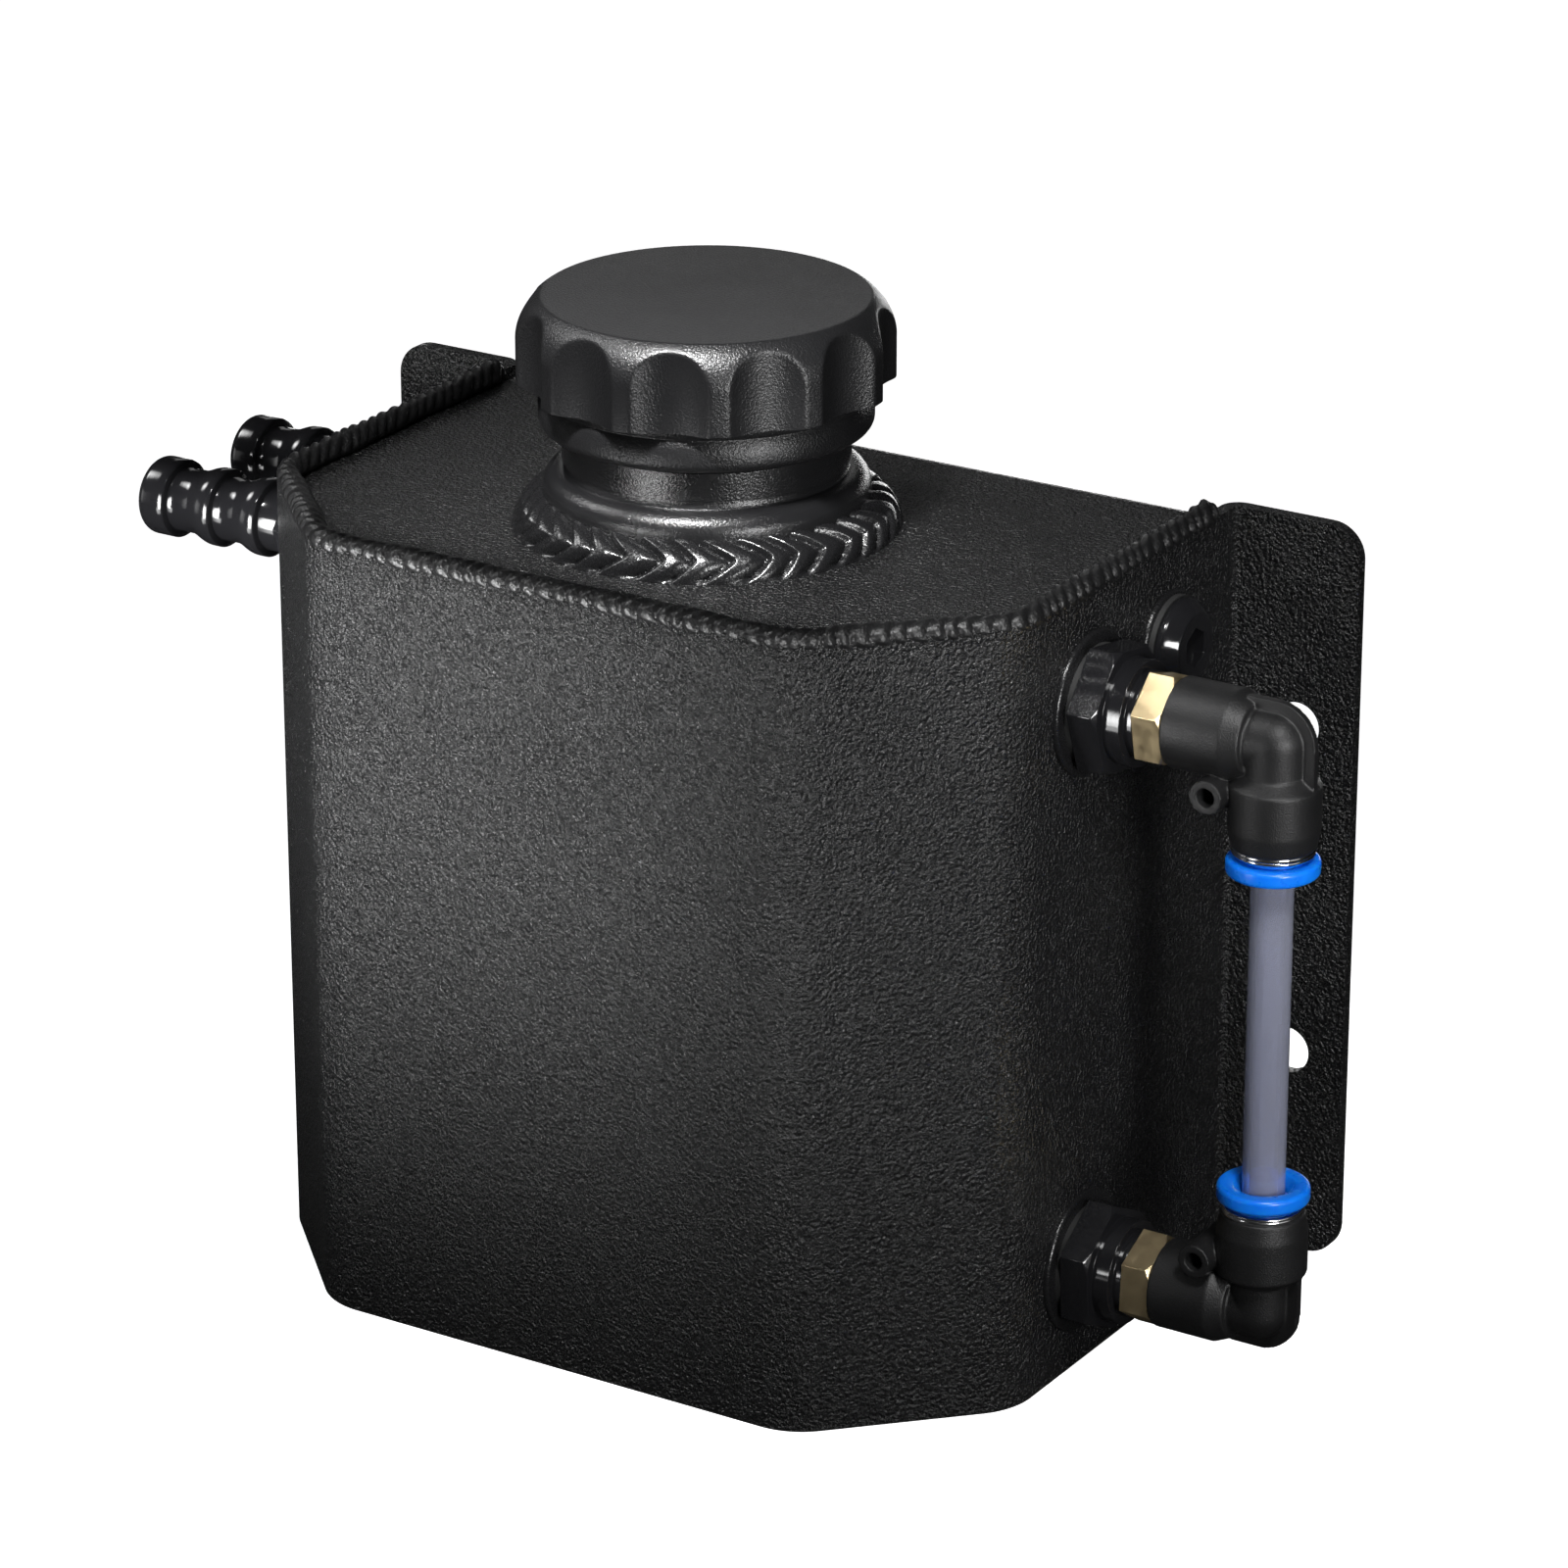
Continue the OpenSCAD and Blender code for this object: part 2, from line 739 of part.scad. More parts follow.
wrap_shell();
top_back_base_panel();
top_seam_weld();
rear_seam_welds();
filler_neck();
neck_weld();
filler_cap();
cap_gasket();
upper_gauge_bung();
lower_gauge_bung();
spare_port_bung();
front_hose_bung();
rear_hose_bung();
upper_gauge_adapter();
lower_gauge_adapter();
upper_adapter_washer();
lower_adapter_washer();
upper_elbow_stem();
lower_elbow_stem();
upper_elbow();
lower_elbow();
upper_stem_seal();
lower_stem_seal();
upper_tube_seal();
lower_tube_seal();
upper_grip_ring();
lower_grip_ring();
upper_retaining_ring();
lower_retaining_ring();
upper_release_collar();
lower_release_collar();
sight_tube();
spare_port_plug();
spare_plug_washer();
front_hose_tail();
rear_hose_tail();
front_tail_washer();
rear_tail_washer();
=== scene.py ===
import math

import bmesh
import bpy
from mathutils import Matrix, Vector


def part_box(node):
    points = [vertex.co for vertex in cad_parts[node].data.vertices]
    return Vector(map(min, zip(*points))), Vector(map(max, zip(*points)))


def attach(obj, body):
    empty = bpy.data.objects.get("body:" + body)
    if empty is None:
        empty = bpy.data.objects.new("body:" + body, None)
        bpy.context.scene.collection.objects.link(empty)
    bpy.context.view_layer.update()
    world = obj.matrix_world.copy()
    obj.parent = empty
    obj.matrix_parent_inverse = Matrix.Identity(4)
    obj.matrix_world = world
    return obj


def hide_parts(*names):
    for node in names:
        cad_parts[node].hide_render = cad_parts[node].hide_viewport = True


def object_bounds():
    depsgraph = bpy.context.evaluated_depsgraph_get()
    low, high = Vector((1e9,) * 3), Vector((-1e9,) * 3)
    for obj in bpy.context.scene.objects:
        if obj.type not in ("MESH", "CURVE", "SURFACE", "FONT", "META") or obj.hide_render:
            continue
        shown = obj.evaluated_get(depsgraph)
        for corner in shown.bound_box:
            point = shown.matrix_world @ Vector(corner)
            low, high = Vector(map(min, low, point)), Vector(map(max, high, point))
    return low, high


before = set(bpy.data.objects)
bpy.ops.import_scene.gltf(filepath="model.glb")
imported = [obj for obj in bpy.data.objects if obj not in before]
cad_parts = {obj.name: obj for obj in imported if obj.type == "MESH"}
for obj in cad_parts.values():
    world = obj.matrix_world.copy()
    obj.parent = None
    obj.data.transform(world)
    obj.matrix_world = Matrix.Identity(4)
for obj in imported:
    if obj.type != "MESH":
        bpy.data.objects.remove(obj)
cad_low, cad_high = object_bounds()

MM = 0.001
FULL_TURN = math.tau

# Heights and distances of the tank, in millimetres, in the row frame.
WALL_X = 62.0
FRONT_Y = -84.0
MID_Y = -43.0
PANEL_Z = 54.7
SHELL_TOP_Z = 56.0
SEAM_INSET = 1.7
GAUGE_OUT = 28.7
UPPER_PORT_Z = 39.75
LOWER_PORT_Z = -44.25
HOSE_Z = 43.5
HOSE_YS = {"front": -49.05, "rear": -26.55}
CHAMFER = 23.0
BEND_R = 9.3
SEAM_END_Y = -6.6
REAR_WELD_X = 60.35
REAR_WELD_Y = -2.1
REAR_WELD_INSET = 0.4
HOSE_HEXAGON_R = 8.083

# The filler: its screw thread, its weld's ripples and the cap's finger flutes.
THREAD_LEAD = 3.0
THREAD_DEPTH = 0.75
THREAD_LOW_Z, THREAD_HIGH_Z = 14.7, 24.9
NECK_RIPPLES = 35
RIPPLE_DEPTH = 1.0
FLUTE_STEP = 30.0
FLUTE_START = 21.5
FLUTE_CENTRE_R = 34.2
FLUTE_CUTTER_R = 9.9


# ---------------------------------------------------------------- node groups

def new_group(name, inputs, outputs):
    """An empty shader group with its sockets, and its two end nodes."""
    group = bpy.data.node_groups.new(name, "ShaderNodeTree")
    for label, kind, value in inputs:
        socket = group.interface.new_socket(name=label, in_out="INPUT", socket_type=kind)
        socket.default_value = value
    for label, kind in outputs:
        group.interface.new_socket(name=label, in_out="OUTPUT", socket_type=kind)
    start = group.nodes.new("NodeGroupInput")
    end = group.nodes.new("NodeGroupOutput")
    return group, start, end


def node_in(tree, kind, settings=None, **values):
    """A node with its settings and its unlinked socket values."""
    node = tree.nodes.new(kind)
    for key, value in (settings or {}).items():
        setattr(node, key, value)
    for key, value in values.items():
        node.inputs[key.replace("_", " ")].default_value = value
    return node


def sum_of(tree, first, second, share):
    """first + second * share, as one output."""
    node = tree.nodes.new("ShaderNodeMath")
    node.operation = "MULTIPLY_ADD"
    tree.links.new(second, node.inputs[0])
    node.inputs[1].default_value = share
    tree.links.new(first, node.inputs[2])
    return node.outputs[0]


def product(tree, first, factor):
    node = tree.nodes.new("ShaderNodeMath")
    node.operation = "MULTIPLY"
    tree.links.new(first, node.inputs[0])
    node.inputs[1].default_value = factor
    return node.outputs[0]


def orange_peel_group():
    """Sprayed powder that has flowed into small lumps, with a finer grit on them."""
    group, start, end = new_group(
        "orange_peel",
        [("Lumps per metre", "NodeSocketFloat", 2000.0)],
        [("Height", "NodeSocketFloat"), ("Sparkle", "NodeSocketFloat")],
    )
    place = node_in(group, "ShaderNodeTexCoord")
    lumps = node_in(group, "ShaderNodeTexNoise", Detail=2.0, Roughness=0.55)
    cells = node_in(group, "ShaderNodeTexVoronoi", {"feature": "SMOOTH_F1"}, Smoothness=0.6)
    grit = node_in(group, "ShaderNodeTexNoise", Detail=1.0, Roughness=0.5)
    for node, factor in ((lumps, 1.0), (cells, 0.8), (grit, 2.3)):
        group.links.new(place.outputs["Object"], node.inputs["Vector"])
        group.links.new(product(group, start.outputs[0], factor), node.inputs["Scale"])
    both = sum_of(group, lumps.outputs["Fac"], cells.outputs["Distance"], 0.5)
    height = sum_of(group, both, grit.outputs["Fac"], 0.35)
    group.links.new(height, end.inputs["Height"])
    group.links.new(grit.outputs["Fac"], end.inputs["Sparkle"])
    return group


def fine_grain_group():
    """The even grain of a blasted or moulded surface."""
    group, start, end = new_group(
        "fine_grain",
        [("Grains per metre", "NodeSocketFloat", 5000.0)],
        [("Height", "NodeSocketFloat")],
    )
    place = node_in(group, "ShaderNodeTexCoord")
    grains = node_in(group, "ShaderNodeTexNoise", Detail=2.0, Roughness=0.6)
    group.links.new(place.outputs["Object"], grains.inputs["Vector"])
    group.links.new(start.outputs[0], grains.inputs["Scale"])
    group.links.new(grains.outputs["Fac"], end.inputs["Height"])
    return group


def cutter_lines_group():
    """The fine lines that a turning or milling tool leaves, across the given direction."""
    group, start, end = new_group(
        "cutter_lines",
        [("Lines per metre", "NodeSocketVector", (60.0, 60.0, 6000.0))],
        [("Height", "NodeSocketFloat")],
    )
    place = node_in(group, "ShaderNodeTexCoord")
    stretch = node_in(group, "ShaderNodeVectorMath", {"operation": "MULTIPLY"})
    lines = node_in(group, "ShaderNodeTexNoise", Scale=1.0, Detail=3.0, Roughness=0.7)
    group.links.new(place.outputs["Object"], stretch.inputs[0])
    group.links.new(start.outputs[0], stretch.inputs[1])
    group.links.new(stretch.outputs[0], lines.inputs["Vector"])
    group.links.new(lines.outputs["Fac"], end.inputs["Height"])
    return group


def uneven_tone_group():
    """Two colours mixed in soft patches, with the patches as a mask."""
    group, start, end = new_group(
        "uneven_tone",
        [
            ("Patches per metre", "NodeSocketFloat", 30.0),
            ("Darker", "NodeSocketColor", (0.0, 0.0, 0.0, 1.0)),
            ("Lighter", "NodeSocketColor", (1.0, 1.0, 1.0, 1.0)),
        ],
        [("Color", "NodeSocketColor"), ("Mask", "NodeSocketFloat")],
    )
    place = node_in(group, "ShaderNodeTexCoord")
    patches = node_in(group, "ShaderNodeTexNoise", Detail=4.0, Roughness=0.6)
    mix = group.nodes.new("ShaderNodeMix")
    mix.data_type = "RGBA"
    group.links.new(place.outputs["Object"], patches.inputs["Vector"])
    group.links.new(start.outputs[0], patches.inputs["Scale"])
    group.links.new(patches.outputs["Fac"], mix.inputs["Factor"])
    group.links.new(start.outputs[1], mix.inputs[6])
    group.links.new(start.outputs[2], mix.inputs[7])
    group.links.new(mix.outputs[2], end.inputs["Color"])
    group.links.new(patches.outputs["Fac"], end.inputs["Mask"])
    return group


ORANGE_PEEL = orange_peel_group()
FINE_GRAIN = fine_grain_group()
CUTTER_LINES = cutter_lines_group()
UNEVEN_TONE = uneven_tone_group()


# ------------------------------------------------------------------ materials

def finish_of(name, darker, lighter, roughness, relief, patches=40.0, **plain):
    """A Principled finish: two tones in patches, a roughness range, and relief.

    roughness is (smoothest, roughest). relief is a list of (group, socket value,
    depth in metres), the deepest first. plain values go on the shader itself.
    """
    material = bpy.data.materials.new(name)
    material.use_nodes = True
    tree = material.node_tree
    shader = tree.nodes["Principled BSDF"]
    for key, value in plain.items():
        shader.inputs[key.replace("_", " ")].default_value = value
    tone = tree.nodes.new("ShaderNodeGroup")
    tone.node_tree = UNEVEN_TONE
    tone.inputs[0].default_value = patches
    tone.inputs[1].default_value = (*darker, 1.0)
    tone.inputs[2].default_value = (*lighter, 1.0)
    tree.links.new(tone.outputs["Color"], shader.inputs["Base Color"])
    spread = tree.nodes.new("ShaderNodeMapRange")
    spread.inputs["From Min"].default_value = 0.3
    spread.inputs["From Max"].default_value = 0.7
    spread.inputs["To Min"].default_value = roughness[0]
    spread.inputs["To Max"].default_value = roughness[1]
    tree.links.new(spread.outputs["Result"], shader.inputs["Roughness"])
    mask = tone.outputs["Mask"]
    normal = None
    for group, value, depth in relief:
        part = tree.nodes.new("ShaderNodeGroup")
        part.node_tree = group
        part.inputs[0].default_value = value
        bump = tree.nodes.new("ShaderNodeBump")
        bump.inputs["Strength"].default_value = 1.0
        bump.inputs["Distance"].default_value = depth
        tree.links.new(part.outputs["Height"], bump.inputs["Height"])
        if normal is not None:
            tree.links.new(normal, bump.inputs["Normal"])
        normal = bump.outputs["Normal"]
        if group == ORANGE_PEEL:
            mask = part.outputs["Sparkle"]
    tree.links.new(mask, spread.inputs["Value"])
    if normal is not None:
        tree.links.new(normal, shader.inputs["Normal"])
    return material


tank_coat = finish_of(
    "satin_powder_coat", (0.0035, 0.0035, 0.0037), (0.0055, 0.0055, 0.0058), (0.24, 0.36),
    [(ORANGE_PEEL, 2000.0, 0.00060)], patches=18.0)
seam_coat = finish_of(
    "powder_coat_over_seam", (0.004, 0.004, 0.0042), (0.006, 0.006, 0.0063), (0.34, 0.46),
    [(ORANGE_PEEL, 2300.0, 0.00010)], patches=60.0)
weld_coat = finish_of(
    "powder_coat_over_weld", (0.005, 0.005, 0.0055), (0.009, 0.009, 0.0095), (0.2, 0.32),
    [(ORANGE_PEEL, 1500.0, 0.00006)], patches=60.0)
blasted_black = finish_of(
    "blasted_black_anodising", (0.006, 0.006, 0.0065), (0.009, 0.009, 0.0095), (0.3, 0.4),
    [(FINE_GRAIN, 3000.0, 0.00010)], patches=50.0, IOR=1.52)
turned_black = finish_of(
    "turned_black_anodising", (0.006, 0.006, 0.0065), (0.01, 0.01, 0.0105), (0.2, 0.3),
    [(FINE_GRAIN, 3000.0, 0.00008)], patches=50.0, IOR=1.5)
gloss_black = finish_of(
    "bright_black_anodising", (0.006, 0.006, 0.007), (0.012, 0.012, 0.013), (0.08, 0.16),
    [(FINE_GRAIN, 900.0, 0.000006)], patches=90.0)
brushed_brass = finish_of(
    "milled_brass", (0.72, 0.55, 0.30), (0.88, 0.72, 0.44), (0.28, 0.42),
    [(CUTTER_LINES, (6000.0, 90.0, 90.0), 0.00002)], patches=500.0, Metallic=1.0)
grained_plastic = finish_of(
    "moulded_black_plastic", (0.006, 0.006, 0.0063), (0.010, 0.010, 0.0104), (0.4, 0.52),
    [(FINE_GRAIN, 4200.0, 0.00006)], patches=120.0)
blue_plastic = finish_of(
    "moulded_blue_plastic", (0.003, 0.16, 0.80), (0.005, 0.22, 0.90), (0.24, 0.34),
    [(FINE_GRAIN, 2500.0, 0.000008)], patches=300.0,
    Subsurface_Weight=0.35, Subsurface_Radius=(0.1, 0.4, 1.0), Subsurface_Scale=0.0012)
bright_steel = finish_of(
    "turned_stainless_steel", (0.62, 0.62, 0.63), (0.80, 0.80, 0.81), (0.14, 0.24),
    [(CUTTER_LINES, (80.0, 80.0, 9000.0), 0.00001)], patches=300.0, Metallic=1.0)
rubber = finish_of(
    "black_nitrile_rubber", (0.008, 0.008, 0.008), (0.014, 0.014, 0.014), (0.6, 0.75),
    [(FINE_GRAIN, 3500.0, 0.00002)], patches=200.0)
clear_tube = finish_of(
    "clear_extruded_tube", (0.52, 0.55, 0.70), (0.68, 0.70, 0.84), (0.03, 0.08),
    [(FINE_GRAIN, 160.0, 0.00003)], patches=60.0, Transmission_Weight=0.75, IOR=1.49)


# --------------------------------------------------------------------- shapes

def turned(outline, steps=96, closed=True, sectors=12):
    """Spins an outline of (height, radius) in millimetres round the Z axis.

    One sector is spun, and then repeated round the axis, which is quicker.
    """
    bm = bmesh.new()
    verts = [bm.verts.new((radius * MM, 0.0, height * MM)) for height, radius in outline]
    edges = [bm.edges.new(pair) for pair in zip(verts, verts[1:])]
    if closed:
        edges.append(bm.edges.new((verts[-1], verts[0])))
    bmesh.ops.spin(
        bm, geom=verts + edges, cent=(0, 0, 0), axis=(0, 0, 1), angle=FULL_TURN / sectors,
        steps=steps // sectors, use_merge=False)
    bmesh.ops.spin(
        bm, geom=bm.verts[:] + bm.edges[:] + bm.faces[:], cent=(0, 0, 0), axis=(0, 0, 1),
        angle=FULL_TURN * (sectors - 1) / sectors, steps=sectors - 1, use_duplicate=True)
    bmesh.ops.remove_doubles(bm, verts=bm.verts, dist=1e-6)
    bmesh.ops.recalc_face_normals(bm, faces=bm.faces)
    return bm


def soften(bm, width, sharper_than=32.0, segments=2):
    """Rounds every edge where two faces meet at more than an angle, in degrees."""
    limit = math.radians(sharper_than)
    edges = [e for e in bm.edges
             if len(e.link_faces) == 2 and e.calc_face_angle(0.0) > limit]
    bmesh.ops.bevel(
        bm, geom=edges, offset=width * MM, offset_type="OFFSET", segments=segments,
        profile=0.5, affect="EDGES", clamp_overlap=True, material=-1)
    return bm


def copied(node):
    """A CAD node's mesh with its loose triangles joined into clean faces."""
    bm = bmesh.new()
    bm.from_mesh(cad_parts[node].data)
    bmesh.ops.remove_doubles(bm, verts=bm.verts, dist=2e-6)
    bmesh.ops.dissolve_limit(
        bm, angle_limit=math.radians(0.4), verts=bm.verts, edges=bm.edges,
        use_dissolve_boundaries=False)
    return bm


def placed(bm, matrix):
    bmesh.ops.transform(bm, matrix=matrix, verts=bm.verts)
    return bm


def at(x, y, z):
    return Matrix.Translation((x * MM, y * MM, z * MM))


def out_of_wall(side, y, z):
    """The frame of a port: its Z points outwards from the side wall."""
    return at(side * WALL_X, y, z) @ Matrix.Rotation(side * math.pi / 2, 4, "Y")


def along_tube(upper):
    """The frame of an elbow: its Z runs from the axes' meeting point to the tube."""
    if upper:
        return at(WALL_X + GAUGE_OUT, MID_Y, UPPER_PORT_Z) @ Matrix.Rotation(math.pi, 4, "X")
    return at(WALL_X + GAUGE_OUT, MID_Y, LOWER_PORT_Z)


def piece(name, bm, material, slot, body, *nodes, even=True):
    """Links a mesh as a finished piece that stands for some CAD nodes."""
    mesh = bpy.data.meshes.new(name)
    bm.to_mesh(mesh)
    bm.free()
    mesh.shade_smooth()
    mesh.set_sharp_from_angle(angle=math.radians(55))
    mesh.materials.append(material)
    obj = bpy.data.objects.new(name, mesh)
    bpy.context.scene.collection.objects.link(obj)
    if even:
        flat = obj.modifiers.new("even_shading", "WEIGHTED_NORMAL")
        flat.keep_sharp = True
    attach(obj, body)
    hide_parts(*nodes)
    return obj


def curve(centre, radius, start, end, count):
    """Points of an arc as (height, radius) pairs; angles in degrees from outwards."""
    height, out = centre
    turns = [math.radians(start + (end - start) * i / count) for i in range(count + 1)]
    return [(height + radius * math.sin(a), out + radius * math.cos(a)) for a in turns]


class BentLine:
    """A line through corners, each rounded to one radius, measured along its length."""

    def __init__(self, corners, radius):
        self.pieces = []
        here = Vector(corners[0])
        for before, corner, after in zip(corners, corners[1:], corners[2:]):
            into = (Vector(corner) - Vector(before)).normalized()
            out = (Vector(after) - Vector(corner)).normalized()
            turn = into.angle(out)
            cut = radius * math.tan(turn / 2)
            start = Vector(corner) - into * cut
            self.pieces.append(("line", (start - here).length, here, into, None, 0.0))
            side = (out - into * into.dot(out)).normalized()
            self.pieces.append(("arc", radius * turn, start, into, side, radius))
            here = Vector(corner) + out * cut
        last = Vector(corners[-1]) - here
        self.pieces.append(("line", last.length, here, last.normalized(), None, 0.0))
        self.length = sum(p[1] for p in self.pieces)

    def place(self, distance):
        """(point, direction) at a distance from the start."""
        left = min(max(distance, 0.0), self.length)
        for kind, length, start, into, side, radius in self.pieces:
            if left <= length:
                if kind == "line":
                    return start + into * left, into
                angle = left / radius
                point = start + into * radius * math.sin(angle)
                point += side * radius * (1 - math.cos(angle))
                return point, into * math.cos(angle) + side * math.sin(angle)
            left -= length
        return start + into * length, into


def ripple(turns):
    """Height of a weld's overlapping ripples: round crests with narrow valleys."""
    return abs(math.sin(math.pi * turns)) ** 0.75


def rope_bead(line, up, half_width, rise, sink, pitch, slant, depth, end_rise=0.0):
    """A bead of slanted ripples along a line, pulled from a straight tube of rings."""
    steps = round(line.length / pitch * 9)
    across = 26
    bm = bmesh.new()
    bmesh.ops.create_cone(
        bm, segments=across, radius1=1.0, radius2=1.0, depth=line.length, cap_ends=True)
    long_edges = [e for e in bm.edges if abs(e.verts[0].co.z - e.verts[1].co.z) > 1.0]
    bmesh.ops.subdivide_edges(bm, edges=long_edges, cuts=steps, use_grid_fill=True)
    for v in bm.verts:
        out, above, along = v.co
        along += line.length / 2
        wander = along + 0.35 * math.sin(along / 2.9) + 0.22 * math.sin(along / 1.27 + 1.0)
        size = 1.0 + 0.05 * math.sin(along / 5.3 + 0.6) + 0.04 * math.sin(along / 1.9)
        turns = wander / pitch + slant * out + 0.25 * above
        size *= 1.0 - depth * (1.0 - ripple(turns)) * max(0.0, min(1.0, above + 0.9))
        near_end = min(along, line.length - along)
        lobe = math.exp(-(near_end / 2.2) ** 2)
        end_round = math.sqrt(max(0.0, 1.0 - max(0.0, 1.0 - near_end / 1.2) ** 2))
        size *= 0.25 + 0.75 * end_round
        height = above * (rise + end_rise * lobe if above > 0 else sink) * size
        point, ahead = line.place(along)
        side = ahead.cross(up)
        v.co = (point + side * out * half_width * size + up * height) * MM
    bmesh.ops.recalc_face_normals(bm, faces=bm.faces)
    return bm


# ---------------------------------------------------------------- sheet tank

shell = soften(copied("wrap_shell"), 0.28, segments=3)
piece("wrap_shell_coated", shell, tank_coat, "tank_coat", "tank", "wrap_shell")
panel = copied("top_back_base_panel")
piece("folded_panel_coated", panel, tank_coat, "tank_coat", "tank", "top_back_base_panel")

edge = WALL_X - SEAM_INSET
fore = FRONT_Y + SEAM_INSET
slope = CHAMFER - SEAM_INSET * (2.0 - math.sqrt(2.0))
seam_line = BentLine(
    [(-edge, SEAM_END_Y, SHELL_TOP_Z), (-edge, fore + slope, SHELL_TOP_Z),
     (-edge + slope, fore, SHELL_TOP_Z), (edge - slope, fore, SHELL_TOP_Z),
     (edge, fore + slope, SHELL_TOP_Z), (edge, SEAM_END_Y, SHELL_TOP_Z)], BEND_R)
seam = rope_bead(seam_line, Vector((0, 0, 1)), 1.95, 1.85, 1.5, 2.4, 0.75, 0.3, end_rise=0.5)
piece("top_seam_bead", seam, seam_coat, "weld_coat", "tank", "top_seam_weld", even=False)

rear_low, rear_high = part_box("rear_seam_welds")
for side in (-1, 1):
    ends = (rear_low.z / MM + REAR_WELD_INSET, 0.0, rear_high.z / MM - REAR_WELD_INSET)
    rear_line = BentLine([(side * REAR_WELD_X, REAR_WELD_Y, z) for z in ends], 1.0)
    rear = rope_bead(rear_line, Vector((0, 1, 0)), 1.5, 1.4, 0.8, 2.4, 0.6, 0.3)
    piece("rear_seam_bead_" + ("left" if side < 0 else "right"), rear, seam_coat,
          "weld_coat", "tank", "rear_seam_welds", even=False)


# ------------------------------------------------------------- filler and cap

def neck():
    """The welded filler neck: a rounded foot, a plain waist and the cap's thread."""
    outline = [(-2.0, 16.0), (-2.0, 19.0), (0.0, 19.0), (0.0, 23.1), (4.6, 23.1), (5.3, 23.1)]
    outline += curve((5.4, 20.3), 2.8, 0, 90, 10)[1:-1]
    outline += [(8.2, 20.6), (8.2, 20.1), (8.5, 19.9), (9.4, 19.9), (9.6, 20.3), (10.4, 20.3),
                (13.2, 20.3), (13.5, 20.3), (13.7, 19.8), (14.3, 19.8), (14.5, 20.3)]
    outline += [(14.8 + 0.24 * i, 20.3) for i in range(42)]
    outline += [(25.0, 20.3), (25.8, 19.5), (25.8, 16.6), (25.3, 16.0), (10.0, 16.0)]
    bm = turned(outline, steps=168)
    for v in bm.verts:
        height, radius = v.co.z / MM, v.co.xy.length / MM
        if THREAD_LOW_Z < height < THREAD_HIGH_Z and radius > 20.0:
            turn = math.atan2(v.co.y, v.co.x) / FULL_TURN
            cutter = 0.5 - 0.5 * math.cos(FULL_TURN * (height / THREAD_LEAD - turn))
            fade = min(1.0, (height - THREAD_LOW_Z) / 0.8, (THREAD_HIGH_Z - height) / 0.8)
            v.co.xy *= 1.0 - THREAD_DEPTH * fade * cutter ** 1.5 / radius
    return placed(bm, at(0, MID_Y, PANEL_Z))


def neck_bead():
    """The weld round the neck's foot: chevrons whose points follow the welder round."""
    arc_out, arc_up, arc_r = 21.6, -0.85, 5.96
    start = math.degrees(math.acos((22.7 - arc_out) / arc_r))
    outline = curve((arc_up, arc_out), arc_r, start, 8, 30)
    outline = [(-0.4, 22.7)] + outline + [(-0.4, 27.4)]
    bm = turned(outline, steps=720)
    for v in bm.verts:
        radius, height = v.co.xy.length / MM, v.co.z / MM
        if height < -0.3:
            continue
        angle = math.atan2(v.co.y, v.co.x)
        slope = math.degrees(math.atan2(height - arc_up, radius - arc_out))
        across = (slope - 8.0) / (start - 8.0) * 2.0 - 1.0
        wander = 0.16 * math.sin(3 * angle + 0.4) + 0.1 * math.sin(11 * angle)
        turns = NECK_RIPPLES * angle / FULL_TURN + 0.85 * abs(across + 0.1) ** 1.2 + wander
        share = turns % 1.0
        crest = min(1.0, share / 0.16) ** 0.7 * min(1.0, (1.0 - share) / 0.5) ** 0.5
        edge_fade = min(1.0, (1.0 - abs(across)) / 0.16)
        swell = 0.25 * math.sin(2 * angle + 2.4) + 0.12 * math.sin(5 * angle)
        push = (-RIPPLE_DEPTH * (1.0 - crest) + 0.35 * swell) * edge_fade
        away = Vector((radius - arc_out, height - arc_up)).normalized()
        flat = Vector((v.co.x, v.co.y)).normalized()
        v.co.x += flat.x * away.x * push * MM
        v.co.y += flat.y * away.x * push * MM
        v.co.z += away.y * push * MM
    return placed(bm, at(0, MID_Y, PANEL_Z))


